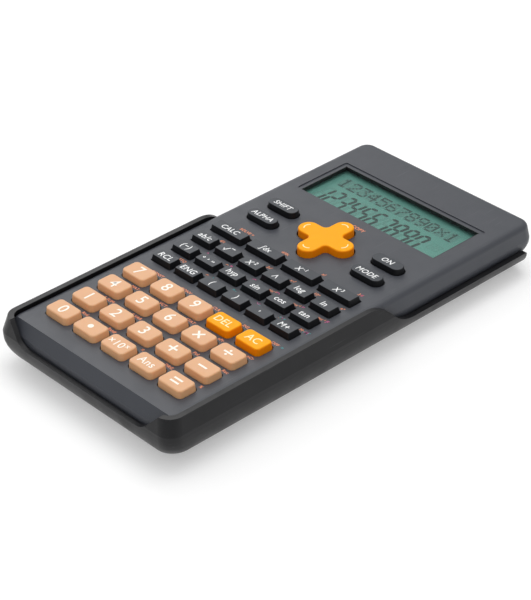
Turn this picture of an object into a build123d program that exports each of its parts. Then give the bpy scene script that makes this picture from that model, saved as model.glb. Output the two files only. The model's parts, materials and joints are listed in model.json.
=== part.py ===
from build123d import *
from math import cos, radians, sin
import os

# A two-line scientific calculator lying face up in its hard slide case.
# The origin is the bottom centre of the whole. +X is to the right, +Y is towards the display
# end, +Z is up. All sizes are in millimetres.

# ---------------------------------------------------------------- overall sizes
body_length = 161.2
body_width = 79.4
body_height = 15.0
body_corner = 4.3  # plan radius of the calculator's corners
case_length = 159.2  # slide case, front wall to open end

# ---------------------------------------------------------------- slide case
case_floor = 1.6
case_wall = 1.95  # side walls
case_front_wall = 1.7
case_corner = 5.2
case_belly = 11.0  # radius between the walls and the floor
crease_height = 12.5  # above this line the walls lean in
rim_height = 18.0
rim_lean = 1.4  # how far the rim hooks in over the calculator's shoulder
lip_height = 8.3  # low wall towards the open end
rail_end = 84.0  # from the front wall to the end of the full-height rail
rail_run_out = 20.0  # length of the S-curve from rail to lip
lip_end_radius = 2.8
notch_floor = 10.8  # height of the thumb notch's lower edge
notch_post = 13.0  # from the side of the case to the notch's lower corner
notch_slant = 7.0  # how much wider the notch is at the rim
notch_radius = 8.0
side_clearance = 0.35  # calculator to case wall
front_clearance = 0.5
floor_clearance = 0.5

# ---------------------------------------------------------------- calculator housing
shell_wall = 1.8
belly_radius = 9.0  # radius along the underside's edges
shoulder_radius = 2.3
side_draft = 0.8  # how much narrower each side is at the keypad surface
seam_depth = 5.0  # from the keypad surface to the seam, at mid length
seam_fall = 0.0102  # the seam drops this much for each millimetre towards the display
slope_run = 2.9  # the sloped band along the front edge
slope_drop = 4.4

# ---------------------------------------------------------------- display
head_length = 40.7  # display end of the housing to the window's near edge
window_width = 62.7
window_length = 22.2
window_corner = 0.8
window_step = 1.5  # shallow step round three sides of the window
window_step_depth = 0.35
window_thickness = 0.8
window_ledge = 1.6  # how far the lens runs under the housing
glass_thickness = 0.95  # each of the two glasses
glass_margin = 2.6  # glass beyond the window at each side
glass_ledge = 3.0  # front glass beyond the rear glass, over the connector
glass_gap = 0.05
connector_width = 2.0
connector_length = 60.0

# ---------------------------------------------------------------- keys
front_margin = 8.7  # front of the housing to the first row's field
number_side_margin = 5.7
function_side_margin = 5.9
wide_side_margin = 5.5
number_columns, function_columns, wide_columns = 5, 6, 4
number_row, function_row, wide_row = 1.0, 0.829, 0.855  # row pitches, in row units
block_gap = 0.238  # between the number block and the function rows, in row units
cursor_rows = 3.152  # field of the cursor pad and the oval keys, in row units
lower_oval, upper_oval = 0.28, 0.57  # places of the oval keys in that field
cursor_place = 0.446  # place of the cursor pad in that field
number_gap_x, number_gap_y = 2.7, 3.2
function_gap_x, function_gap_y = 2.0, 3.5
wide_gap_x, wide_gap_y = 2.3, 3.8
oval_width, oval_length = 13.0, 5.0
oval_edge = 8.5  # side of the housing to the oval keys
number_rise, function_rise, oval_rise, cursor_rise = 2.4, 2.1, 2.1, 2.5
number_corner, number_taper, number_edge = 1.5, 0.2, 0.5
function_corner, function_taper, function_edge = 0.35, 0.4, 0.1
oval_taper, oval_edge_radius = 0.18, 0.2
cursor_margin = 4.4  # cursor pad to the ends of its field
cursor_arm = 7.2
cursor_crotch = 1.6  # inner radius between two arms
cursor_edge = 0.55
hole_gap = 0.35  # key to the edge of its hole
cursor_hole_gap = 0.5
key_travel = 1.2
flange_width = 0.45  # flange beyond the hole
flange_thickness = 0.8
flange_gap = 0.2  # flange to the underside of the housing
cursor_flange_gap = 0.9

# ---------------------------------------------------------------- inside
board_thickness = 1.2
board_side_gap = 0.4
sheet_thickness = 0.8  # silicone sheet between the domes
dome_radius, dome_top, dome_wall = 2.6, 1.6, 0.6
dome_gap = 0.1
chip_radius, chip_height = 7.0, 1.5
chip_x = 15.0
pillar_radius = 1.5
pillar_inset, pillar_start = 4.6, 7.2  # board's side and front edge to the pillars' centres
boss_radius, boss_inset = 2.1, 4.4  # screw bosses, and their centres from the side
post_radius = 2.9  # posts in the back that hold the screw heads
screw_diameter, screw_length = 2.0, 7.5
screw_head_diameter, screw_head_height = 3.8, 1.3
screw_hole_gap = 0.15
screw_depth = 3.2  # how deep the screw heads lie in the back
front_screw, middle_screw, rear_screw = 7.8, 3.2, 6.2  # front edge, cursor field and display end to the screws
battery_radius, battery_length = 5.25, 43.5
nub_radius, nub_length = 1.9, 1.0
battery_floor_gap = 0.25
battery_inset = 8.6  # display end of the housing to the cell's axis
spring_length, spring_wire, spring_turns = 4.5, 0.6, 3
contact_thickness = 0.4
contact_width, contact_height = 8.0, 8.0
rib_thickness = 0.8
cover_gap = 0.15
cover_screw_offset = 8.0  # contact plate to the cover's screw
cover_head_depth = 0.2
cover_seat = 1.6  # how far the screw's seat stands into the housing
tongue_rise, tongue_thickness, tongue_reach, tongue_width = 0.4, 0.9, 2.0, 5.0
battery_place = -3.25  # X of the cell's middle

# ---------------------------------------------------------------- worked-out places
total_length = case_front_wall + front_clearance + body_length
case_front = -total_length / 2
body_front = case_front + case_front_wall + front_clearance
body_end = body_front + body_length
body_middle = (body_front + body_end) / 2
under = case_floor + floor_clearance  # the calculator's underside
surface = under + body_height  # the keypad surface
roof = surface - shell_wall  # underside of the housing's top
floor_top = under + shell_wall
seam = surface - seam_depth
case_width = body_width + 2 * (side_clearance + case_wall)

window_near = body_end - head_length
window_middle = window_near + window_length / 2
lens_bottom = roof - window_thickness
glass_top = lens_bottom - glass_gap
rear_glass_bottom = glass_top - 2 * glass_thickness
glass_near = window_near - glass_margin + 0.8
glass_far = window_near + window_length + 1.4

flange_top = roof - flange_gap
flange_bottom = flange_top - flange_thickness
board_top = flange_bottom - key_travel - sheet_thickness - 1.0
board_bottom = board_top - board_thickness
sheet_top = board_top + sheet_thickness
connector_middle = glass_near + glass_ledge / 2
board_front = body_front + shell_wall + 3.0
board_end = connector_middle + connector_width / 2 + 0.7
boss_x = body_width / 2 - boss_inset
board_width = 2 * (boss_x - post_radius - board_side_gap)

field_length = body_length - head_length - front_margin
row_units = 4 * number_row + block_gap + 3 * function_row + wide_row + cursor_rows
unit = field_length / row_units
number_start = body_front + front_margin
function_start = number_start + (4 * number_row + block_gap) * unit
wide_start = function_start + 3 * function_row * unit
cursor_start = wide_start + wide_row * unit
cursor_field = cursor_rows * unit
cursor_y = cursor_start + cursor_place * cursor_field
oval_x = body_width / 2 - oval_edge - oval_width / 2
cursor_span = min(cursor_field - 2 * cursor_margin, 2 * (oval_x - oval_width / 2 - 6.5))
cursor_span = min(cursor_span, 2 * (cursor_y - cursor_start - 3.0))

cell_y = body_end - battery_inset
cell_z = floor_top + battery_floor_gap + battery_radius
cell_start = battery_place - battery_length / 2
cell_end = battery_place + battery_length / 2 + nub_length
cover_screw_x = cell_end + cover_screw_offset
cover_low = (cell_start - spring_length - 1.0, cell_y - battery_radius - 1.2)
cover_high = (cover_screw_x + 3.2, cell_y + 3.9)
screw_rows = (body_front + front_screw, cursor_start + middle_screw, body_end - rear_screw)
screw_places = [(side * boss_x, y) for y in screw_rows for side in (-1, 1)]


# ---------------------------------------------------------------- shape helpers
def slab(z, width, length, corner, y=0.0, x=0.0):
    """Rounded rectangle lying at height z."""
    corner = min(corner, 0.49 * min(width, length))
    return Pos(x, y, z) * RectangleRounded(width, length, corner)


def bowl(width, length, middle, corner, bottom, radius):
    """Lower part of a tub: a flat floor that turns up into straight walls."""
    steps = 7
    sections = []
    for step in range(steps + 1):
        turn = radians(90 * step / steps)
        inset = radius * (1 - sin(turn))
        height = bottom + radius * (1 - cos(turn))
        sections.append(slab(height, width - 2 * inset, length - 2 * inset, corner + 0.35 * inset, middle))
    return loft(sections)


def tub(width, length, middle, corner, bottom, radius, crease, top, lean):
    """Bowl, then straight walls up to the crease, then walls that lean in."""
    rim = bottom + radius
    lower = bowl(width, length, middle, corner, bottom, radius)
    straight = loft([slab(rim, width, length, corner, middle), slab(crease, width, length, corner, middle)], ruled=True)
    upper = loft([slab(crease, width, length, corner, middle),
                  slab(top, width - 2 * lean, length - 2 * lean, corner, middle)], ruled=True)
    return lower + straight + upper


def cylinder(x, y, bottom, top, radius):
    return Pos(x, y, (bottom + top) / 2) * Cylinder(radius, top - bottom)


def block(low, high):
    size = [b - a for a, b in zip(low, high)]
    return Pos(*[(a + b) / 2 for a, b in zip(low, high)]) * Box(*size)


# ---------------------------------------------------------------- slide case
def side_profile():
    """Everything above the rim, the S-curve and the lip, seen from the side."""
    start = case_front + rail_end
    end = start + rail_run_out
    middle = ((start + end) / 2, (rim_height + lip_height) / 2)
    open_end = case_front + case_length
    high, past = rim_height + 20, open_end + 20
    falling = TangentArc((start, rim_height), middle, tangent=(1, 0))
    levelling = TangentArc(middle, (end, lip_height), tangent=falling % 1)
    along = Line((end, lip_height), (open_end - lip_end_radius, lip_height))
    tip = TangentArc(along @ 1, (open_end, lip_height - lip_end_radius), tangent=(1, 0))
    rest = Polyline(tip @ 1, (past, lip_height - lip_end_radius), (past, high),
                    (case_front - 20, high), (case_front - 20, rim_height), (start, rim_height))
    return Plane.YZ * make_face([falling, levelling, along, tip, rest])


def thumb_notch():
    low = case_width / 2 - notch_post
    high = low + notch_slant
    top = rim_height + 3
    reach = low + notch_slant * (top - notch_floor) / (rim_height - notch_floor)
    outline = Polyline((-reach, top), (-low, notch_floor), (low, notch_floor), (reach, top), close=True)
    face = make_face(outline)
    face = fillet(face.vertices().sort_by(Axis.Y)[:2], notch_radius)
    depth = case_front_wall + rim_lean + 3
    return extrude(Plane.XZ.offset(-case_front + 2) * face, amount=-(depth + 2))


def slide_case():
    past = 30.0  # the tub runs on past the open end and is cut there
    length = case_length + past
    middle = case_front + length / 2
    outer = tub(case_width, length, middle, case_corner, 0, case_belly, crease_height, rim_height, rim_lean)
    outline = slab(-1, case_width + 2, case_length, case_corner, case_front + case_length / 2)
    outer = outer & extrude(outline, amount=rim_height + 5)
    inner_top = rim_height + 1.0
    inner_lean = rim_lean * (inner_top - crease_height) / (rim_height - crease_height)
    inner = tub(case_width - 2 * case_wall, length, middle + case_front_wall, case_corner - 1.2, case_floor,
                case_belly - case_wall + 0.15, crease_height, inner_top, inner_lean)
    case = outer - inner
    case -= extrude(side_profile(), amount=case_width, both=True)
    case -= thumb_notch()
    return case


# ---------------------------------------------------------------- housing
def front_slope(offset):
    """Wedge ahead of the sloped front band, moved in by the offset."""
    line = Polyline((body_front + slope_run + offset, surface + 0.01), (body_front + offset, surface - slope_drop),
                    (body_front - 5, surface - slope_drop), (body_front - 5, surface + 5),
                    (body_front + slope_run + offset, surface + 5), close=True)
    return extrude(Plane.YZ * make_face(line), amount=body_width, both=True)


def housing_form(inset, shoulder):
    """The closed outer form of the calculator, or of its inside."""
    form = tub(body_width - 2 * inset, body_length - 2 * inset, body_middle, body_corner - 0.7 * inset,
               under + inset, belly_radius - inset, seam - 0.8, surface - inset, side_draft)
    form = fillet(form.faces().sort_by(Axis.Z)[-1].edges(), shoulder)
    return form - front_slope(inset)


def above_seam():
    plane = Plane(origin=(0, 0, seam), x_dir=(1, 0, 0), z_dir=(0, seam_fall, 1))
    return plane * Pos(0, 0, 50) * Box(2 * body_width, 2 * body_length, 100)


def cover_block(gap):
    return block((cover_low[0] - gap, cover_low[1] - gap, under - 5),
                 (cover_high[0] + gap, cover_high[1] + gap, floor_top + 3.5))


def front_case(outer, cavity, key_holes):
    shell = (outer & above_seam()) - cavity
    ribs = []
    post_top = roof + 0.5
    for x, y in screw_places:
        ribs.append(cylinder(x, y, seam + 0.8, post_top, boss_radius))
    ribs.append(cylinder(cover_screw_x, cell_y, floor_top + cover_seat + 0.1, post_top, boss_radius))
    side = window_width / 2 + glass_margin + 0.3
    for s in (-1, 1):
        ribs.append(block((min(s * side, s * (side + rib_thickness)), glass_near, rear_glass_bottom),
                          (max(s * side, s * (side + rib_thickness)), glass_far, post_top)))
    rib_y = cell_y - battery_radius - 0.3
    spring_start = cell_start - spring_length
    ribs.append(block((spring_start + 0.3, rib_y - rib_thickness, floor_top + 1.5),
                      (cell_end - 0.3, rib_y, post_top)))
    for x in (spring_start - contact_thickness - rib_thickness, cell_end + contact_thickness):
        ribs.append(block((x, rib_y, floor_top + 1.5), (x + rib_thickness, cell_y + 3.6, post_top)))
    inside = housing_form(0.6, shoulder_radius - 0.6)
    for rib in ribs:
        shell += rib & inside
    window = slab(lens_bottom, window_width, window_length, window_corner, window_middle)
    shell -= extrude(window, amount=body_height)
    step = slab(surface - window_step_depth, window_width + 2 * window_step, window_length + window_step,
                window_corner, window_middle + window_step / 2)
    shell -= extrude(step, amount=5)
    for x, y in screw_places + [(cover_screw_x, cell_y)]:
        shell -= cylinder(x, y, floor_top - 1, roof + 0.2, screw_diameter / 2)
    for hole in key_holes:
        shell -= hole
    return shell


def rear_case(outer, cavity):
    shell = (outer - above_seam()) - cavity
    inside = housing_form(0.6, shoulder_radius - 0.6)
    head_seat = under + screw_depth + screw_head_height
    for x, y in screw_places:
        shell += cylinder(x, y, under + 0.6, seam + 0.8, post_radius) & inside
        shell -= cylinder(x, y, seam - 1, surface, post_radius + 0.2) & above_seam()
        shell -= cylinder(x, y, under - 5, head_seat, screw_head_diameter / 2 + screw_hole_gap)
        shell -= cylinder(x, y, under, surface, screw_diameter / 2 + screw_hole_gap)
    for y in (board_front + pillar_start, (board_front + board_end) / 2 - 14, wide_start, board_end - 3):
        for x in (-board_width / 2 + pillar_inset, 0, board_width / 2 - pillar_inset):
            shell += cylinder(x, y, under + 0.6, board_bottom, pillar_radius)
    for x in (-window_width / 4, window_width / 4):
        shell += cylinder(x, glass_far - 2.2, under + 0.6, rear_glass_bottom, pillar_radius)
    return shell - cover_block(cover_gap)


def battery_cover(outer, cavity):
    cover = (outer - cavity) & cover_block(0)
    near = cell_y - 1.5 - tongue_width
    start, rise = cover_low[0], floor_top + tongue_rise
    cover += block((start - tongue_reach, near, rise), (start + 2.0, near + tongue_width, rise + tongue_thickness))
    cover += block((start + 0.5, near, floor_top - 0.5), (start + 2.0, near + tongue_width, rise + 0.1))
    cover += cylinder(cover_screw_x, cell_y, under + 1, floor_top + cover_seat, post_radius)
    seat = under + cover_head_depth + screw_head_height
    cover -= cylinder(cover_screw_x, cell_y, under - 1, seat, screw_head_diameter / 2 + screw_hole_gap)
    return cover - cylinder(cover_screw_x, cell_y, under, floor_top + 3, screw_diameter / 2 + screw_hole_gap)


def screw(x, y, head_bottom, length):
    head = cylinder(x, y, head_bottom, head_bottom + screw_head_height, screw_head_diameter / 2)
    head = chamfer(head.edges().group_by(Axis.Z)[0], 0.35)
    shank = cylinder(x, y, head_bottom + screw_head_height, head_bottom + screw_head_height + length,
                     screw_diameter / 2)
    slot = 0.5
    cross = Pos(x, y, head_bottom) * (Box(2.2, slot, 1.2) + Box(slot, 2.2, 1.2))
    return head + shank - cross


def case_screws():
    heads = under + screw_depth
    screws = [screw(x, y, heads, screw_length) for x, y in screw_places]
    screws.append(screw(cover_screw_x, cell_y, under + cover_head_depth, screw_length))
    return Compound(screws)


# ---------------------------------------------------------------- display
def display_window():
    plate = slab(lens_bottom, window_width + 2 * window_ledge, window_length + 2 * window_ledge,
                 window_corner, window_middle)
    return extrude(plate, amount=window_thickness)


def lcd_panel():
    half = window_width / 2 + glass_margin
    front = block((-half, glass_near, glass_top - glass_thickness), (half, glass_far, glass_top))
    rear = block((-half, glass_near + glass_ledge, rear_glass_bottom),
                 (half, glass_far, glass_top - glass_thickness))
    return front + rear


def lcd_connector():
    return block((-connector_length / 2, connector_middle - connector_width / 2, board_top),
                 (connector_length / 2, connector_middle + connector_width / 2, glass_top - glass_thickness))


# ---------------------------------------------------------------- keys
def plain_key(style, x, y):
    """Cap, stem and flange of one key, and the hole that it moves in."""
    width, length, corner = style["width"], style["length"], style["corner"]
    taper, top = style["taper"], surface + style["rise"]
    cap = loft([slab(surface, width, length, corner, y, x),
                slab(top, width - 2 * taper, length - 2 * taper, corner, y, x)], ruled=True)
    cap = fillet(cap.faces().sort_by(Axis.Z)[-1].edges(), style["edge"])
    stem = extrude(slab(flange_top, width, length, corner, y, x), amount=surface - flange_top)
    reach = 2 * (hole_gap + flange_width)
    flange = extrude(slab(flange_bottom, width + reach, length + reach, corner + reach / 2, y, x),
                     amount=flange_thickness)
    hole = slab(roof - 1, width + 2 * hole_gap, length + 2 * hole_gap, corner + hole_gap, y, x)
    return cap + stem + flange, extrude(hole, amount=shell_wall + 2)


def pad_outline(span, arm, crotch):
    """Plus shape with round arm ends and filleted inner corners."""
    across = RectangleRounded(span, arm, 0.49 * arm)
    along = RectangleRounded(arm, span, 0.49 * arm)
    plus = across + along
    inner = [v for v in plus.vertices() if abs(abs(v.X) - arm / 2) < 0.01 and abs(abs(v.Y) - arm / 2) < 0.01]
    return fillet(inner, crotch)


def cursor_pad():
    """Four-way pad, the hole that it rocks in, and its pivot foot."""
    outline = Pos(0, cursor_y, surface) * pad_outline(cursor_span, cursor_arm, cursor_crotch)
    cap = extrude(outline, amount=cursor_rise)
    cap = fillet(cap.faces().sort_by(Axis.Z)[-1].edges(), cursor_edge)
    top = roof - cursor_flange_gap
    stem = extrude(Pos(0, 0, top - surface) * outline, amount=surface - top)
    reach = 2 * (cursor_hole_gap + flange_width)
    wide = pad_outline(cursor_span + reach, cursor_arm + reach, cursor_crotch)
    flange = extrude(Pos(0, cursor_y, flange_bottom) * wide, amount=top - flange_bottom)
    hole = pad_outline(cursor_span + 2 * cursor_hole_gap, cursor_arm + 2 * cursor_hole_gap, cursor_crotch)
    hole = extrude(Pos(0, cursor_y, roof - 1) * hole, amount=shell_wall + 2)
    foot = Pos(0, cursor_y, sheet_top + 1.6) * Sphere(1.5)
    neck = cylinder(0, cursor_y, sheet_top + 1.6, flange_bottom, 1.5)
    return cap + stem + flange + foot + neck, hole


def key_layout():
    """Every plain key as its name, style and place."""
    number = {"width": (body_width - 2 * number_side_margin) / number_columns - number_gap_x,
              "length": number_row * unit - number_gap_y, "corner": number_corner,
              "taper": number_taper, "rise": number_rise, "edge": number_edge}
    function = {"width": (body_width - 2 * function_side_margin) / function_columns - function_gap_x,
                "length": function_row * unit - function_gap_y, "corner": function_corner,
                "taper": function_taper, "rise": function_rise, "edge": function_edge}
    wide = dict(function, width=(body_width - 2 * wide_side_margin) / wide_columns - wide_gap_x,
                length=wide_row * unit - wide_gap_y)
    oval = {"width": oval_width, "length": oval_length, "corner": 0.49 * oval_length,
            "taper": oval_taper, "rise": oval_rise, "edge": oval_edge_radius}
    blocks = [
        (number, number_start, number_row * unit, number_side_margin,
         ["0 point exponent answer equals", "1 2 3 plus minus", "4 5 6 times divide", "7 8 9 delete clear"]),
        (function, function_start, function_row * unit, function_side_margin,
         ["recall engineering open_bracket close_bracket comma memory",
          "negative degrees hyperbolic sine cosine tangent",
          "fraction root square power log natural_log"]),
        (wide, wide_start, wide_row * unit, wide_side_margin, ["calculate integral inverse cube"]),
    ]
    keys = []
    for style, start, pitch_y, margin, rows in blocks:
        for row, words in enumerate(rows):
            names = words.split()
            pitch_x = (body_width - 2 * margin) / len(names)
            for column, name in enumerate(names):
                x = (column - (len(names) - 1) / 2) * pitch_x
                keys.append(("key_" + name, style, x, start + (row + 0.5) * pitch_y))
    for name, side, place in (("shift", -1, upper_oval), ("alpha", -1, lower_oval),
                              ("on", 1, upper_oval), ("mode", 1, lower_oval)):
        keys.append(("key_" + name, oval, side * oval_x, cursor_start + place * cursor_field))
    return keys


# ---------------------------------------------------------------- inside
def dome(x, y):
    height = flange_bottom - dome_gap - sheet_top
    return Pos(x, y, sheet_top + height / 2) * Cone(dome_radius, dome_top, height)


def dome_hollow(x, y):
    height = flange_bottom - dome_gap - board_top - 1.3
    return Pos(x, y, board_top + height / 2) * Cone(dome_radius - dome_wall, dome_top - dome_wall, height)


def keypad_membrane(places):
    start, end = board_front + 0.5, glass_near - 1.0
    sheet = extrude(slab(board_top, board_width - 0.8, end - start, 1.5, (start + end) / 2),
                    amount=sheet_thickness)
    sheet += [dome(x, y) for x, y in places]
    return sheet - [dome_hollow(x, y) for x, y in places]


def circuit_board():
    middle = (board_front + board_end) / 2
    board = extrude(slab(board_bottom, board_width, board_end - board_front, 1.0, middle), amount=board_thickness)
    chip_y = wide_start - 10
    chip = Pos(chip_x, chip_y, board_bottom - chip_height / 2) * Cone(chip_radius - 2, chip_radius, chip_height)
    return board + chip


def contact(x, side):
    """Contact plate at x with its strip forward to the board's edge."""
    low, high = sorted((x, x + side * contact_thickness))
    near = cell_y - contact_width / 2
    plate = block((low, near, cell_z - contact_height / 2), (high, near + contact_width, cell_z + contact_height / 2))
    return plate + block((low, board_end, board_bottom), (high, near, board_top))


def battery():
    cell = Rot(0, 90, 0) * Cylinder(battery_radius, battery_length)
    cell = fillet(cell.edges().filter_by(GeomType.CIRCLE), 0.4)
    nub = Pos(battery_length / 2 + nub_length / 2, 0, 0) * Rot(0, 90, 0) * Cylinder(nub_radius, nub_length)
    return Pos(battery_place, cell_y, cell_z) * (cell + nub)


def battery_spring():
    radius = 2.8
    path = Helix(pitch=(spring_length - spring_wire) / spring_turns, height=spring_length - spring_wire,
                 radius=radius)
    wire = sweep(Plane(origin=path @ 0, z_dir=path % 0) * Circle(spring_wire / 2), path)
    wire = Pos(cell_start - spring_length + spring_wire / 3, cell_y, cell_z) * Rot(0, 90, 0) * wire
    return contact(cell_start - spring_length, -1) + wire


def write(name, shape):
    shape.label = name
    export_step(shape, os.path.join("parts", name + ".step"))


def main():
    os.makedirs("parts", exist_ok=True)
    pad, pad_hole = cursor_pad()
    holes, places = [pad_hole], []
    for name, style, x, y in key_layout():
        key, hole = plain_key(style, x, y)
        write(name, key)
        holes.append(hole)
        places.append((x, y))
    write("cursor_pad", pad)
    reach = cursor_span / 2 - cursor_arm / 2
    places += [(reach, cursor_y), (-reach, cursor_y), (0, cursor_y + reach), (0, cursor_y - reach)]
    outer = housing_form(0, shoulder_radius)
    cavity = housing_form(shell_wall, shoulder_radius - 1.5)
    write("front_case", front_case(outer, cavity, holes))
    write("rear_case", rear_case(outer, cavity))
    write("battery_cover", battery_cover(outer, cavity))
    write("case_screws", case_screws())
    write("display_window", display_window())
    write("lcd_panel", lcd_panel())
    write("lcd_connector", lcd_connector())
    write("keypad_membrane", keypad_membrane(places))
    write("circuit_board", circuit_board())
    write("battery", battery())
    write("battery_spring", battery_spring())
    write("battery_contact_plate", contact(cell_end, 1))
    write("slide_case", slide_case())


main()
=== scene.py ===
import json
import math
import bmesh
import bpy
from mathutils import Matrix, Vector


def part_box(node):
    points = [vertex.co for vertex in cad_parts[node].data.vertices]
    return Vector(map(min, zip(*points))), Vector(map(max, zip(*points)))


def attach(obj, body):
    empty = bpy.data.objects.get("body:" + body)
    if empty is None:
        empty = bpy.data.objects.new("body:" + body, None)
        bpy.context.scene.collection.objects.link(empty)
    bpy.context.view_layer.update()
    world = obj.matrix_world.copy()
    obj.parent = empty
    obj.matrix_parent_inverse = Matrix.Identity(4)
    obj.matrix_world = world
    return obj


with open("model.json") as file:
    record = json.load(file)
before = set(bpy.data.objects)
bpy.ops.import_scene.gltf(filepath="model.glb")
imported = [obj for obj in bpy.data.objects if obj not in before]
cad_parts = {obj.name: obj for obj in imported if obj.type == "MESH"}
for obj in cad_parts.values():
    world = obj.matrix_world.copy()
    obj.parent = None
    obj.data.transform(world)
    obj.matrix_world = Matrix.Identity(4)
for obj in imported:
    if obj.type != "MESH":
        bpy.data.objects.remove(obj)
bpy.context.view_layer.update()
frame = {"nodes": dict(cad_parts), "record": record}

nodes = frame["nodes"]
mm = 0.001

# shader maths: a socket that can be added, multiplied and so on


class Value:
    def __init__(self, tree, socket):
        self.tree, self.socket = tree, socket

    def math(self, operation, first, second=None):
        node = self.tree.nodes.new("ShaderNodeMath")
        node.operation = operation
        for place, item in enumerate([first] if second is None else [first, second]):
            if isinstance(item, Value):
                self.tree.links.new(item.socket, node.inputs[place])
            else:
                node.inputs[place].default_value = item
        return Value(self.tree, node.outputs[0])

    def __add__(self, other):
        return self.math("ADD", self, other)

    def __radd__(self, other):
        return self.math("ADD", other, self)

    def __sub__(self, other):
        return self.math("SUBTRACT", self, other)

    def __mul__(self, other):
        return self.math("MULTIPLY", self, other)

    def __rmul__(self, other):
        return self.math("MULTIPLY", other, self)

    def __gt__(self, other):
        return self.math("GREATER_THAN", self, other)

    def clamp(self):
        return self.math("MINIMUM", self.math("MAXIMUM", self, 0.0), 1.0)


class Material:
    def __init__(self, name):
        self.material = bpy.data.materials.new(name)
        self.material.use_nodes = True
        self.tree = self.material.node_tree
        self.shader = self.tree.nodes["Principled BSDF"]
        self.place = self.node("ShaderNodeTexCoord")

    # any node by type: its settings first, then the values or links of its sockets
    def node(self, kind, settings=None, **sockets):
        made = self.tree.nodes.new(kind)
        for name, value in (settings or {}).items():
            if name == "stops":
                while len(made.color_ramp.elements) < len(value):
                    made.color_ramp.elements.new(0.5)
                for element, (position, colour) in zip(made.color_ramp.elements, value):
                    element.position, element.color = position, (*colour, 1)
            else:
                setattr(made, name, value)
        for name, value in sockets.items():
            self.feed(made.inputs[name.replace("_", " ")], value)
        return made

    def feed(self, socket, value):
        if isinstance(value, Value):
            self.tree.links.new(value.socket, socket)
        elif isinstance(value, bpy.types.NodeSocket):
            self.tree.links.new(value, socket)
        elif isinstance(value, tuple) and len(value) == 3 and len(socket.default_value) == 4:
            socket.default_value = (*value, 1)
        else:
            socket.default_value = value

    def value(self, node, output=0):
        return Value(self.tree, node.outputs[output])

    def noise(self, scale, detail=2.0, stretch=(1, 1, 1)):
        spot = self.node("ShaderNodeMapping", Vector=self.place.outputs["Object"], Scale=stretch)
        return self.value(self.node("ShaderNodeTexNoise", Vector=spot.outputs[0], Scale=scale, Detail=detail))

    def axis(self, letter):
        split = self.node("ShaderNodeSeparateXYZ", Vector=self.place.outputs["Object"])
        return self.value(split, "XYZ".index(letter))

    def facing(self, letter):
        shape = self.node("ShaderNodeNewGeometry")
        split = self.node("ShaderNodeSeparateXYZ", Vector=shape.outputs["Normal"])
        return self.value(split, "XYZ".index(letter))

    def mix(self, factor, first, second):
        made = self.node("ShaderNodeMix", {"data_type": "RGBA"})
        for place, item in ((0, factor), (6, first), (7, second)):
            self.feed(made.inputs[place], item)
        return made.outputs[2]

    def bump(self, height, strength, distance):
        made = self.node("ShaderNodeBump", Height=height, Strength=strength, Distance=distance)
        self.feed(self.shader.inputs["Normal"], made.outputs["Normal"])

    def set(self, **sockets):
        for name, value in sockets.items():
            self.feed(self.shader.inputs[name.replace("_", " ")], value)


# moulded plastic: spark-eroded grain, cloudy tone, rubbed patches and a few hairline scuffs
def mouldedPlastic(name, look):
    made = Material(name)
    cloud = made.noise(60, 4)
    grain = made.noise(look["grain"], 2)
    rub = (made.noise(140, 5) * 3.0 - 1.35).clamp()
    scuff = ((made.noise(1500, 1, look["scuffAlong"]) - 0.68) * 9.0).clamp()
    tone = made.mix(cloud, look["dark"], look["light"])
    tone = made.mix(scuff * look["scuff"], tone, look["scuffColour"])
    made.set(Base_Color=tone, Roughness=look["rough"] + look["uneven"] * rub + 0.08 * grain - 0.06 * scuff)
    made.set(IOR=1.5, Specular_IOR_Level=look["specular"])
    made.bump(grain + 0.5 * scuff, look["grainStrength"], look["grainDepth"])
    return made.material


# key plastic: the sides carry painted light and shade, a tone of their own for how light falls on them, and
# the top is a little worn
def keyPlastic(name, look):
    made = Material(name)
    cloud = made.noise(220, 3)
    grain = made.noise(look["grain"], 2)
    up = made.facing("Z")
    # mask of the up-facing top; what faces away from it gets the painted side shade
    top = ((up - 0.45) * 2.2).clamp()
    tone = made.mix(cloud, look["dark"], look["light"])
    # painted shading: the key sides take the "side" colour in place of the top's tone
    tone = made.mix(top, look["side"], tone)
    worn = ((made.noise(420, 3) - 0.5) * 2.5).clamp()
    made.set(Base_Color=tone, Roughness=look["rough"] + 0.10 * grain - 0.08 * worn * top, IOR=1.5)
    made.set(Specular_IOR_Level=look["specular"])
    made.set(Subsurface_Weight=look["deep"], Subsurface_Radius=(1.0, 0.5, 0.2), Subsurface_Scale=0.0012)
    made.bump(grain, look["grainStrength"], 0.00003)
    return made.material


# printed ink: a little thin in places
inkLook = {"grain": 2600, "shade": 0.82, "rough": 0.42}


def ink(name, colour):
    made = Material(name)
    thin = made.noise(inkLook["grain"], 3)
    made.set(Base_Color=made.mix((thin - 0.35) * 0.5, colour, tuple(inkLook["shade"] * c for c in colour)))
    made.set(Roughness=inkLook["rough"] + 0.2 * thin)
    made.bump(thin, 0.1, 0.00001)
    return made.material


# drawn and plated metal: fine lines along one way, with duller spots
metalLook = {"lines": 900, "along": (1, 14, 1), "spots": 300, "dull": 0.6}


def brushedMetal(name, colour, rough):
    made = Material(name)
    lines = made.noise(metalLook["lines"], 3, metalLook["along"])
    spots = (made.noise(metalLook["spots"], 4) * 2 - 0.9).clamp()
    made.set(Base_Color=made.mix(spots * 0.4, colour, tuple(metalLook["dull"] * c for c in colour)))
    made.set(Metallic=1.0, Roughness=rough + 0.15 * lines + 0.1 * spots)
    made.bump(lines, 0.15, 0.00002)
    return made.material


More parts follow.
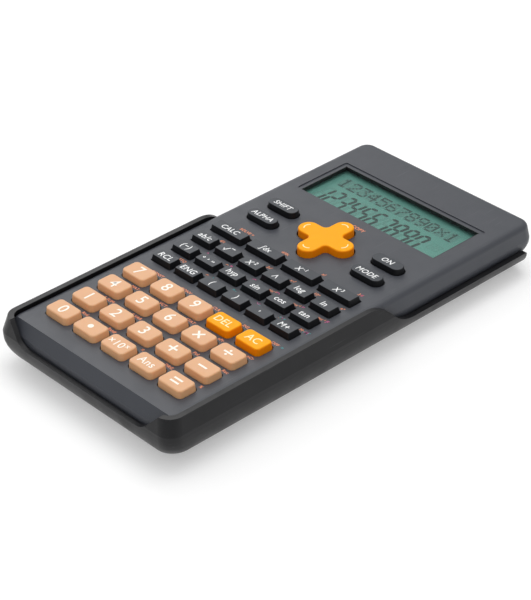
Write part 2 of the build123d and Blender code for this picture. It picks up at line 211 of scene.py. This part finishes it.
# the finishes of this calculator
bodyLook = {"dark": (0.040, 0.044, 0.054), "light": (0.050, 0.054, 0.066), "grain": 5200,
            "grainStrength": 0.28, "grainDepth": 0.00004, "rough": 0.42, "uneven": 0.08, "specular": 0.5,
            "scuff": 0.10, "scuffColour": (0.16, 0.165, 0.175), "scuffAlong": (1, 0.05, 1)}
caseLook = {"dark": (0.008, 0.008, 0.009), "light": (0.014, 0.014, 0.0155), "grain": 3600,
            "grainStrength": 0.12, "grainDepth": 0.00003, "rough": 0.30, "uneven": 0.14, "specular": 0.26,
            "scuff": 0.30, "scuffColour": (0.07, 0.07, 0.074), "scuffAlong": (1, 0.04, 1)}
# the "side" colours are painted shading for the key sides: far darker on the dark keys, redder and more
# saturated on the orange and peach keys
peachLook = {"dark": (0.72, 0.405, 0.225), "light": (0.76, 0.44, 0.255), "side": (0.84, 0.46, 0.235),
             "grain": 5200, "rough": 0.46, "specular": 0.25, "deep": 0.12, "grainStrength": 0.16}
orangeLook = {"dark": (0.93, 0.37, 0.0), "light": (0.96, 0.40, 0.0), "side": (1.0, 0.27, 0.0),
              "grain": 5200, "rough": 0.44, "specular": 0.15, "deep": 0.15, "grainStrength": 0.14}
darkLook = {"dark": (0.030, 0.035, 0.043), "light": (0.038, 0.043, 0.053), "side": (0.004, 0.0045, 0.006),
            "grain": 5200, "rough": 0.38, "specular": 0.4, "deep": 0.0, "grainStrength": 0.14}
materials = {
    "body_plastic": mouldedPlastic("graphitePlastic", bodyLook),
    "case_plastic": mouldedPlastic("blackCasePlastic", caseLook),
    "peach_key": keyPlastic("peachKeyPlastic", peachLook),
    "orange_key": keyPlastic("orangeKeyPlastic", orangeLook),
    "dark_key": keyPlastic("darkKeyPlastic", darkLook),
    "contact_metal": brushedMetal("nickelContact", (0.72, 0.70, 0.66), 0.22),
    "screw_steel": brushedMetal("blackenedScrew", (0.34, 0.34, 0.35), 0.3),
}


# the acrylic lens: nearly clear, with a thin haze
lensLook = {"colour": (0.12, 0.16, 0.155), "haze": 90, "rough": 0.04, "solid": 0.05, "specular": 0.35}


def clearLens():
    made = Material("clearLens")
    haze = made.noise(lensLook["haze"], 3)
    made.set(Base_Color=lensLook["colour"], Roughness=lensLook["rough"] + 0.05 * haze, IOR=1.49)
    made.set(Alpha=lensLook["solid"] + 0.03 * haze, Specular_IOR_Level=lensLook["specular"])
    return made.material


# the glass under the lens: green-grey, darker towards its far edge, a little cloudy
glassLook = {"near": (0.135, 0.345, 0.285), "far": (0.085, 0.245, 0.205), "cloud": (0.115, 0.30, 0.25),
             "cloudSize": 45, "rough": 0.35, "specular": 0.2}


def displayGlass():
    made = Material("displayGlass")
    low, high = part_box("display_window")
    cloud = made.noise(glassLook["cloudSize"], 3)
    slope = ((made.axis("Y") - low[1]) * (1 / (high[1] - low[1]))).clamp()
    tone = made.mix(slope, glassLook["near"], glassLook["far"])
    tone = made.mix(cloud * 0.35, tone, glassLook["cloud"])
    made.set(Base_Color=tone, Roughness=glassLook["rough"] + 0.1 * cloud, IOR=1.5)
    made.set(Specular_IOR_Level=glassLook["specular"])
    made.bump(made.noise(2400, 2), 0.05, 0.00001)
    return made.material


# milky silicone with a little dust
siliconeLook = {"dust": 700, "dark": (0.60, 0.60, 0.57), "light": (0.72, 0.72, 0.69), "rough": 0.6}


def siliconeSheet():
    made = Material("siliconeSheet")
    dust = made.noise(siliconeLook["dust"], 4)
    made.set(Base_Color=made.mix(dust, siliconeLook["dark"], siliconeLook["light"]))
    made.set(Roughness=siliconeLook["rough"] + 0.2 * dust)
    made.bump(dust, 0.2, 0.00003)
    return made.material


# green laminate: glass weave, and patches where copper lies under the lacquer
boardLook = {"weave": 1200, "along": (1, 0.2, 1), "patches": 160, "bare": (0.02, 0.13, 0.05),
             "copper": (0.05, 0.22, 0.08), "rough": 0.35}


def boardLaminate():
    made = Material("boardLaminate")
    weave = made.noise(boardLook["weave"], 2, boardLook["along"])
    patch = (made.noise(boardLook["patches"], 1) > 0.52) * 0.5
    made.set(Base_Color=made.mix(patch, boardLook["bare"], boardLook["copper"]))
    made.set(Roughness=boardLook["rough"] + 0.2 * weave)
    made.bump(weave, 0.2, 0.00003)
    return made.material


# the cell's printed sleeve: dark, with a copper-coloured band at one end
wrapLook = {"sleeve": (0.03, 0.035, 0.045), "band": (0.62, 0.38, 0.10), "bandLength": 11 * mm, "speck": 900,
            "metallic": 0.4, "rough": 0.25}


def cellWrap():
    made = Material("cellWrap")
    band = made.axis("X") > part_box("battery")[1][0] - wrapLook["bandLength"]
    speck = made.noise(wrapLook["speck"], 3)
    made.set(Base_Color=made.mix(band, wrapLook["sleeve"], wrapLook["band"]), Metallic=wrapLook["metallic"])
    made.set(Roughness=wrapLook["rough"] + 0.15 * speck)
    made.bump(speck, 0.05, 0.00002)
    return made.material


materials.update({"clear_lens": clearLens(), "lcd_glass": displayGlass(), "silicone": siliconeSheet(),
                  "board_laminate": boardLaminate(), "cell_wrap": cellWrap()})
slots = {part["node"]: part["material_slot"] for part in frame["record"]["subparts"]}
for name, piece in nodes.items():
    piece.data.materials.clear()
    piece.data.materials.append(materials[slots[name]])
print("finishes set on", len(nodes), "parts")

# sizes of the housing that the printed detail lies on
housing = {"keyRise": 2.4 * mm, "keyFlange": 0.8 * mm, "lensLedge": 1.6 * mm, "windowStep": 0.35 * mm}
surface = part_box("key_7")[1][2] - housing["keyRise"]
inks = {
    "white": ink("whiteInk", (0.86, 0.87, 0.87)),
    "cream": ink("creamInk", (0.97, 0.90, 0.80)),
    "paleYellow": ink("paleYellowInk", (1.0, 0.86, 0.46)),
    "coral": ink("coralInk", (0.78, 0.26, 0.13)),
    "magenta": ink("magentaInk", (0.50, 0.08, 0.22)),
    "teal": ink("tealInk", (0.03, 0.28, 0.30)),
    "segment": ink("segmentInk", (0.012, 0.038, 0.032)),
    "dots": ink("dotInk", (0.020, 0.062, 0.052)),
    "unlit": ink("unlitSegment", (0.088, 0.245, 0.205)),
    "shadow": ink("segmentShadow", (0.078, 0.215, 0.18)),
    "black": ink("blackLiner", (0.006, 0.006, 0.007)),
}


def plainMesh(thing):
    graph = bpy.context.evaluated_depsgraph_get()
    made = bpy.data.meshes.new_from_object(thing.evaluated_get(graph))
    bpy.data.objects.remove(thing)
    return made


# one word as a thin raised print, centred on the origin; a ^ lifts and shrinks what follows
lettering = {"capital": 0.72, "small": 0.66, "lift": 0.52, "gap": 0.12, "spacing": 1.06, "roundness": 3}


def wordMesh(word, height, weight, lean, thick):
    parts = []
    for place, text in enumerate(word.split("^")):
        curve = bpy.data.curves.new("word", "FONT")
        curve.body, curve.shear = text, lean
        curve.size = height / lettering["capital"] * (lettering["small"] if place else 1.0)
        curve.offset, curve.extrude = weight, thick / 2
        curve.resolution_u, curve.space_character = lettering["roundness"], lettering["spacing"]
        holder = bpy.data.objects.new("word", curve)
        bpy.context.scene.collection.objects.link(holder)
        mesh = plainMesh(holder)
        if place:
            edge = max(v.co.x for v in parts[-1].vertices)
            shift = (edge + lettering["gap"] * height, lettering["lift"] * height, 0)
            mesh.transform(Matrix.Translation(shift))
        parts.append(mesh)
    low = [min(v.co[k] for m in parts for v in m.vertices) for k in range(3)]
    high = [max(v.co[k] for m in parts for v in m.vertices) for k in range(3)]
    for mesh in parts:
        mesh.transform(Matrix.Translation((-(low[0] + high[0]) / 2, -(low[1] + high[1]) / 2, -low[2])))
    return parts


# meshes joined into one visible piece of a body
weld = 0.0001 * mm


def joinedPiece(name, meshes, material, body):
    whole = bmesh.new()
    for mesh in meshes:
        whole.from_mesh(mesh)
    bmesh.ops.remove_doubles(whole, verts=whole.verts, dist=weld)
    bmesh.ops.recalc_face_normals(whole, faces=whole.faces)
    data = bpy.data.meshes.new(name)
    whole.to_mesh(data)
    whole.free()
    data.materials.append(material)
    piece = bpy.data.objects.new(name, data)
    bpy.context.scene.collection.objects.link(piece)
    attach(piece, body)


def boxMesh(low, high):
    data = bpy.data.meshes.new("box")
    corners = [(x, y, z) for x in (low[0], high[0]) for y in (low[1], high[1]) for z in (low[2], high[2])]
    faces = [(0, 1, 3, 2), (4, 6, 7, 5), (0, 4, 5, 1), (2, 3, 7, 6), (0, 2, 6, 4), (1, 5, 7, 3)]
    data.from_pydata(corners, [], faces)
    return data


# key legends, by key and kind
keyLegends = {
    "height": {"number": 4.3 * mm, "sign": 5.6 * mm, "word": 3.0 * mm, "small": 2.35 * mm,
               "wide": 2.15 * mm},
    "thick": 0.06 * mm, "sink": 0.03 * mm, "lean": 0.14, "darkWeight": 0.012, "paleWeight": 0.008,
    "sign": {"point": "•", "equals": "=", "plus": "+", "minus": "−", "times": "×", "divide": "÷"},
    "number": {str(digit): str(digit) for digit in range(10)},
    "word": {"exponent": "×10^x", "answer": "Ans", "delete": "DEL", "clear": "AC"},
    "small": {"recall": "RCL", "engineering": "ENG", "open_bracket": "(", "close_bracket": ")", "comma": ",",
              "memory": "M+", "negative": "(−)", "degrees": "° ’ ”", "hyperbolic": "hyp",
              "sine": "sin", "cosine": "cos", "tangent": "tan", "fraction": "ab/c", "root": "√‾",
              "square": "X^2", "power": "∧", "log": "log", "natural_log": "ln"},
    "wide": {"calculate": "CALC", "integral": "∫dx", "inverse": "X^-1", "cube": "X^3", "shift": "SHIFT",
             "alpha": "ALPHA", "on": "ON", "mode": "MODE"},
}


def keyLegend(key, word, kind):
    low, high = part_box("key_" + key)
    height = keyLegends["height"][kind]
    dark = kind in ("small", "wide")
    weight = height * keyLegends["darkWeight" if dark else "paleWeight"]
    parts = wordMesh(word, height, weight, keyLegends["lean"] if dark else 0.0, keyLegends["thick"])
    middle = ((low[0] + high[0]) / 2, (low[1] + high[1]) / 2, high[2] - keyLegends["sink"])
    for mesh in parts:
        mesh.transform(Matrix.Translation(middle))
    colour = "white" if dark else ("paleYellow" if key in ("delete", "clear") else "cream")
    joinedPiece("legend_" + key, parts, inks[colour], "key_" + key + "_body")


for kind in ("number", "sign", "word", "small", "wide"):
    for key, word in keyLegends[kind].items():
        keyLegend(key, word, kind)
print("key legends printed")

# marks on the cursor pad: an arc near the round end of each arm
padMarks = {"radius": 1.9 * mm, "line": 0.38 * mm, "spread": 52, "steps": 14,
            "thick": 0.06 * mm, "sink": 0.03 * mm, "inset": 4.95 * mm}


def arcMesh(centre, facing, z):
    top = z + padMarks["thick"]
    inner, outer = padMarks["radius"] - padMarks["line"] / 2, padMarks["radius"] + padMarks["line"] / 2
    verts, faces = [], []
    for step in range(padMarks["steps"] + 1):
        angle = facing + math.radians(padMarks["spread"]) * (2 * step / padMarks["steps"] - 1)
        for radius, height in ((inner, z), (outer, z), (outer, top), (inner, top)):
            verts.append((centre[0] + radius * math.cos(angle), centre[1] + radius * math.sin(angle), height))
    for step in range(padMarks["steps"]):
        a = 4 * step
        for k in range(4):
            faces.append((a + k, a + (k + 1) % 4, a + 4 + (k + 1) % 4, a + 4 + k))
    faces += [(0, 3, 2, 1), (len(verts) - 4, len(verts) - 3, len(verts) - 2, len(verts) - 1)]
    data = bpy.data.meshes.new("arc")
    data.from_pydata(verts, [], faces)
    return data


padLow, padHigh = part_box("cursor_pad")
padMiddle = [(padLow[k] + padHigh[k]) / 2 for k in range(2)]
armEnd = (padHigh[0] - padLow[0]) / 2 - padMarks["inset"]
marks = []
for quarter in range(4):
    turn = quarter * math.pi / 2
    centre = (padMiddle[0] + armEnd * math.cos(turn), padMiddle[1] + armEnd * math.sin(turn))
    marks.append(arcMesh(centre, turn, padHigh[2] - padMarks["sink"]))
joinedPiece("cursorPadMarks", marks, inks["paleYellow"], "cursor_pad_body")

# second functions printed on the housing, above each key
prints = {"height": 1.2 * mm, "thick": 0.05 * mm, "sink": 0.02 * mm, "weight": 0.03 * mm, "lean": 0.1,
          "raise": 1.6 * mm, "wideRaise": 2.5 * mm, "wideBack": 1.6 * mm}
coralWords = {
    "calculate": "SOLVE =", "integral": "d/dx", "inverse": "x!", "cube": "^3√", "fraction": "d/c",
    "square": "^3√", "power": "^x√", "log": "10^x", "natural_log": "e^x", "sine": "sin^-1",
    "cosine": "cos^-1", "tangent": "tan^-1", "comma": ";", "memory": "M−", "recall": "STO",
    "engineering": "←", "0": "Rnd", "point": "Ran#", "exponent": "π", "answer": "DRG",
    "equals": "%", "1": "S-SUM", "2": "S-VAR", "plus": "Pol", "minus": "Rec", "times": "nPr", "divide": "nCr",
    "7": "CONST", "8": "CONV", "9": "CLR", "4": "MAT", "5": "VCT", "6": "STAT", "delete": "INS",
    "clear": "OFF", "degrees": "←",
}
magentaLetters = {"negative": "A", "degrees": "B", "hyperbolic": "C", "sine": "D", "cosine": "E",
                  "tangent": "F", "close_bracket": "X", "comma": "Y", "memory": "M", "cube": "e"}
tealMarks = {"engineering": "i", "open_bracket": "Re", "close_bracket": "Im", "comma": "arg", "memory": "DT",
             "delete": ":", "clear": "="}


def printRow(words, colour, name, side, scale):
    parts = []
    for key, word in words.items():
        high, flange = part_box("key_" + key)[1], housing["keyFlange"]
        wide = key in keyLegends["wide"]
        y = high[1] - flange + prints["wideRaise" if wide else "raise"]
        letters = wordMesh(word.lstrip("^"), prints["height"] * scale, prints["weight"], prints["lean"],
                           prints["thick"])
        edge = max(v.co.x for mesh in letters for v in mesh.vertices)
        x = high[0] - flange - edge + (-prints["wideBack"] if wide else side)
        for mesh in letters:
            mesh.transform(Matrix.Translation((x, y, surface - prints["sink"])))
            parts.append(mesh)
    joinedPiece(name, parts, inks[colour], "calculator")


printRow(coralWords, "coral", "secondFunctions", 0.2 * mm, 1.0)
printRow(magentaLetters, "magenta", "memoryLetters", 1.7 * mm, 1.3)
printRow(tealMarks, "teal", "complexMarks", 2.3 * mm, 1.1)
padWord = {"word": "COPY", "height": 1.5 * mm, "weight": 0.04 * mm, "right": 1.5 * mm, "above": 1.0 * mm}
letters = wordMesh(padWord["word"], padWord["height"], padWord["weight"], 0.0, prints["thick"])
for mesh in letters:
    spot = (padMiddle[0] + padWord["right"], padHigh[1] + padWord["above"], surface - prints["sink"])
    mesh.transform(Matrix.Translation(spot))
joinedPiece("cursorPadWord", letters, inks["coral"], "calculator")
print("housing prints done")

# display: black liner of the window, dot-matrix line, seven-segment line
display = {
    "liner": 0.25 * mm, "cellPitch": 4.58 * mm, "dot": 0.79 * mm,
    "dotGap": 0.02 * mm, "lineY": 0.745, "digitPitch": 4.96 * mm, "digitHeight": 8.6 * mm,
    "digitWidth": 3.1 * mm, "linerGap": 0.01 * mm,
    "bar": 1.22 * mm, "lean": 0.16, "digitY": 0.305, "left": 0.053, "thick": 0.02 * mm,
    "clear": 0.012 * mm, "unlitShare": 0.9, "cut": 0.10, "digitBack": 1.0 * mm,
    "exponent": (1.7 * mm, 3.6 * mm, 0.34 * mm), "exponentStart": 1.6 * mm, "exponentPitch": 2.6 * mm,
    "exponentRaise": 3.8 * mm,
}
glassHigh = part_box("lcd_panel")[1]
lensLow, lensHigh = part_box("display_window")
ledge = housing["lensLedge"]
openLow = (lensLow[0] + ledge, lensLow[1] + ledge)
openHigh = (lensHigh[0] - ledge, lensHigh[1] - ledge)
openWidth, openLength = openHigh[0] - openLow[0], openHigh[1] - openLow[1]
inkZ = glassHigh[2] + display["clear"]


def windowLiner():
    wall, rise = display["liner"], surface - housing["windowStep"]
    sides = []
    for a, b in (((openLow[0], openLow[1]), (openLow[0] + wall, openHigh[1])),
                 ((openHigh[0] - wall, openLow[1]), (openHigh[0], openHigh[1])),
                 ((openLow[0] + wall, openHigh[1] - wall), (openHigh[0] - wall, openHigh[1])),
                 ((openLow[0] + wall, openLow[1]), (openHigh[0] - wall, openLow[1] + wall))):
        sides.append(boxMesh((a[0], a[1], lensHigh[2] + display["linerGap"]), (b[0], b[1], rise)))
    joinedPiece("windowLiner", sides, inks["black"], "calculator")


windowLiner()

# five by seven dots of each character, one number a row, from the top
dotPatterns = {
    "0": (14, 17, 19, 21, 25, 17, 14), "1": (4, 12, 4, 4, 4, 4, 14), "2": (14, 17, 1, 2, 4, 8, 31),
    "3": (31, 2, 4, 2, 1, 17, 14), "4": (2, 6, 10, 18, 31, 2, 2), "5": (31, 16, 30, 1, 1, 17, 14),
    "6": (6, 8, 16, 30, 17, 17, 14), "7": (31, 1, 2, 4, 8, 8, 8), "8": (14, 17, 17, 14, 17, 17, 14),
    "9": (14, 17, 17, 15, 1, 2, 12), "*": (0, 17, 10, 4, 10, 17, 0),
}


def dotPoints(text):
    step = display["dot"] + display["dotGap"]
    left = openLow[0] + display["left"] * openWidth
    top = openLow[1] + display["lineY"] * openLength + 3.5 * step
    lit, unlit = [], []
    for place, letter in enumerate(text):
        for row, bits in enumerate(dotPatterns[letter]):
            for column in range(5):
                x = left + place * display["cellPitch"] + (column + 0.5) * step
                spot = (x, top - (row + 0.5) * step, inkZ)
                (lit if bits >> (4 - column) & 1 else unlit).append(spot)
    return lit, unlit


# Geometry Nodes: a small square tile on every point of a cloud
def tileTree():
    tree = bpy.data.node_groups.new("dotTiles", "GeometryNodeTree")
    tree.interface.new_socket("Geometry", in_out="INPUT", socket_type="NodeSocketGeometry")
    for label, kind, value in (("Tile Size", "NodeSocketFloat", display["dot"]),
                               ("Tile Height", "NodeSocketFloat", display["thick"]),
                               ("Ink", "NodeSocketMaterial", None)):
        made = tree.interface.new_socket(label, in_out="INPUT", socket_type=kind)
        if value is not None:
            made.default_value = value
    tree.interface.new_socket("Geometry", in_out="OUTPUT", socket_type="NodeSocketGeometry")
    start, end = tree.nodes.new("NodeGroupInput"), tree.nodes.new("NodeGroupOutput")
    join = tree.nodes.new("ShaderNodeCombineXYZ")
    tile, place = tree.nodes.new("GeometryNodeMeshCube"), tree.nodes.new("GeometryNodeInstanceOnPoints")
    real, coat = tree.nodes.new("GeometryNodeRealizeInstances"), tree.nodes.new("GeometryNodeSetMaterial")
    link = tree.links.new
    link(start.outputs["Tile Size"], join.inputs[0])
    link(start.outputs["Tile Size"], join.inputs[1])
    link(start.outputs["Tile Height"], join.inputs[2])
    link(join.outputs[0], tile.inputs["Size"])
    link(start.outputs["Geometry"], place.inputs["Points"])
    link(tile.outputs["Mesh"], place.inputs["Instance"])
    link(place.outputs[0], real.inputs[0])
    link(real.outputs[0], coat.inputs["Geometry"])
    link(start.outputs["Ink"], coat.inputs["Material"])
    link(coat.outputs[0], end.inputs[0])
    return tree


tiles = tileTree()


def tilePiece(name, points, size, material):
    cloud = bpy.data.meshes.new(name)
    cloud.from_pydata(points, [], [])
    holder = bpy.data.objects.new(name, cloud)
    bpy.context.scene.collection.objects.link(holder)
    modifier = holder.modifiers.new("tiles", "NODES")
    modifier.node_group = tiles
    sockets = {item.name: item.identifier for item in tiles.interface.items_tree if item.in_out == "INPUT"}
    modifier[sockets["Tile Size"]] = size
    modifier[sockets["Tile Height"]] = display["thick"]
    modifier[sockets["Ink"]] = material
    mesh = plainMesh(holder)
    mesh.materials.clear()
    joinedPiece(name, [mesh], material, "calculator")


lit, unlit = dotPoints("1234567890*1")
tilePiece("dotLineLit", lit, display["dot"], inks["dots"])
tilePiece("dotLineUnlit", unlit, display["dot"] * display["unlitShare"], inks["shadow"])

# seven segments of each digit: top, upper right, lower right, bottom, lower left, upper left, middle
segmentSets = {"0": "abcdef", "1": "bc", "2": "abged", "3": "abgcd", "4": "fgbc", "5": "afgcd", "6": "afgedc",
               "7": "abc", "8": "abcdefg", "9": "abcdfg"}


def segmentMesh(segment, corner, size):
    width, height, bar = size
    gap = display["cut"] * bar
    x, y = corner
    half = height / 2
    lines = {"a": ((0, height), (width, height)), "g": ((0, half), (width, half)), "d": ((0, 0), (width, 0)),
             "b": ((width, half), (width, height)), "c": ((width, 0), (width, half)),
             "e": ((0, 0), (0, half)), "f": ((0, half), (0, height))}
    (ax, ay), (bx, by) = lines[segment]
    flat = ay == by
    cut = bar / 2
    if flat:
        outline = [(ax + gap, ay), (ax + cut + gap, ay - cut), (bx - cut - gap, by - cut), (bx - gap, by),
                   (bx - cut - gap, by + cut), (ax + cut + gap, ay + cut)]
    else:
        outline = [(ax, ay + gap), (ax + cut, ay + cut + gap), (bx + cut, by - cut - gap), (bx, by - gap),
                   (bx - cut, by - cut - gap), (ax - cut, ay + cut + gap)]
    outline = [(x + px + display["lean"] * py, y + py) for px, py in outline]
    count, top = len(outline), inkZ + display["thick"]
    verts = [(px, py, inkZ) for px, py in outline] + [(px, py, top) for px, py in outline]
    faces = [tuple(range(count))[::-1], tuple(range(count, 2 * count))]
    faces += [(k, (k + 1) % count, count + (k + 1) % count, count + k) for k in range(count)]
    data = bpy.data.meshes.new("segment")
    data.from_pydata(verts, [], faces)
    return data


def segmentLine():
    size = (display["digitWidth"], display["digitHeight"], display["bar"])
    left = openLow[0] + display["left"] * openWidth - display["digitBack"]
    bottom = openLow[1] + display["digitY"] * openLength - size[1] / 2
    lit, unlit = [], []
    for place, digit in enumerate("1234567890"):
        corner = (left + place * display["digitPitch"], bottom)
        for segment in "abcdefg":
            (lit if segment in segmentSets[digit] else unlit).append(segmentMesh(segment, corner, size))
    start = left + 10 * display["digitPitch"] + display["exponentStart"]
    for place in range(2):
        corner = (start + place * display["exponentPitch"], bottom + display["exponentRaise"])
        for segment in "abcdefg":
            unlit.append(segmentMesh(segment, corner, display["exponent"]))
    joinedPiece("segmentsLit", lit, inks["segment"], "calculator")
    joinedPiece("segmentsUnlit", unlit, inks["unlit"], "calculator")


segmentLine()
print("display drawn")

# camera: a long lens, a little turned on its axis
camera = {"aim": (5.49 * mm, -9.52 * mm, 12 * mm), "azimuth": 48.125, "elevation": 33.507, "roll": -1.555,
          "distance": 702.6 * mm, "lens": 131.15, "sensor": 36, "near": 0.01}


def makeCamera():
    a, e, r = (math.radians(camera[k]) for k in ("azimuth", "elevation", "roll"))
    back = Vector((math.sin(a) * math.cos(e), -math.cos(a) * math.cos(e), math.sin(e)))
    right = (-back).cross(Vector((0, 0, 1))).normalized()
    up = right.cross(-back)
    turnedRight = right * math.cos(r) + up * math.sin(r)
    turnedUp = up * math.cos(r) - right * math.sin(r)
    data = bpy.data.cameras.new("camera")
    data.lens, data.sensor_width, data.clip_start = camera["lens"], camera["sensor"], camera["near"]
    holder = bpy.data.objects.new("camera", data)
    turn = Matrix((turnedRight, turnedUp, back)).transposed().to_4x4()
    turn.translation = Vector(camera["aim"]) + back * camera["distance"]
    holder.matrix_world = turn
    bpy.context.scene.collection.objects.link(holder)
    bpy.context.scene.camera = holder


makeCamera()

# floor and light
studio = {"floor": 6.0, "floorColour": (0.70, 0.70, 0.70), "glow": (0.32, 0.32, 0.32),
          "drop": 0.3 * mm, "dome": (0.16, 0.80), "domeFull": 0.55,
          "boxes": {"overhead": ((-0.15, 0.25, 1.1), (0.9, 0.9), 4.6),
                    "backLeft": ((-0.9, 0.5, 0.55), (0.5, 0.8), 2.2),
                    "frontRight": ((0.7, -0.9, 0.7), (0.5, 0.5), 1.0)}}


def makeFloor():
    half = studio["floor"] / 2
    data = bpy.data.meshes.new("floor")
    corners = [(-half, -half, 0), (half, -half, 0), (half, half, 0), (-half, half, 0)]
    data.from_pydata(corners, [], [(0, 1, 2, 3)])
    made = Material("paleFloor")
    made.set(Base_Color=studio["floorColour"], Roughness=0.9, Specular_IOR_Level=0.1)
    made.set(Emission_Color=studio["glow"], Emission_Strength=1.0)
    data.materials.append(made.material)
    floor = bpy.data.objects.new("floor", data)
    floor.location = (0, 0, -studio["drop"])
    bpy.context.scene.collection.objects.link(floor)


def softBox(name, place, size, power):
    data = bpy.data.lights.new(name, "AREA")
    data.shape, data.size, data.size_y, data.energy = "RECTANGLE", size[0], size[1], power
    holder = bpy.data.objects.new(name, data)
    holder.location = place
    holder.rotation_euler = (-Vector(place)).to_track_quat("-Z", "Y").to_euler()
    bpy.context.scene.collection.objects.link(holder)


makeFloor()
for name, (place, size, power) in studio["boxes"].items():
    softBox(name, place, size, power)


# a soft dome: bright overhead, dimmer towards the horizon
def makeDome():
    world = bpy.data.worlds.new("studio")
    world.use_nodes = True
    tree = world.node_tree
    spot, split = tree.nodes.new("ShaderNodeTexCoord"), tree.nodes.new("ShaderNodeSeparateXYZ")
    ramp, stops = tree.nodes.new("ShaderNodeValToRGB"), (0.0, studio["domeFull"])
    for element, position, level in zip(ramp.color_ramp.elements, stops, studio["dome"]):
        element.position, element.color = position, (level, level, level, 1)
    tree.links.new(spot.outputs["Generated"], split.inputs[0])
    tree.links.new(split.outputs[2], ramp.inputs[0])
    tree.links.new(ramp.outputs[0], tree.nodes["Background"].inputs[0])
    bpy.context.scene.world = world


makeDome()
bpy.context.scene.view_settings.view_transform = "Standard"
print("camera, floor and light ready")
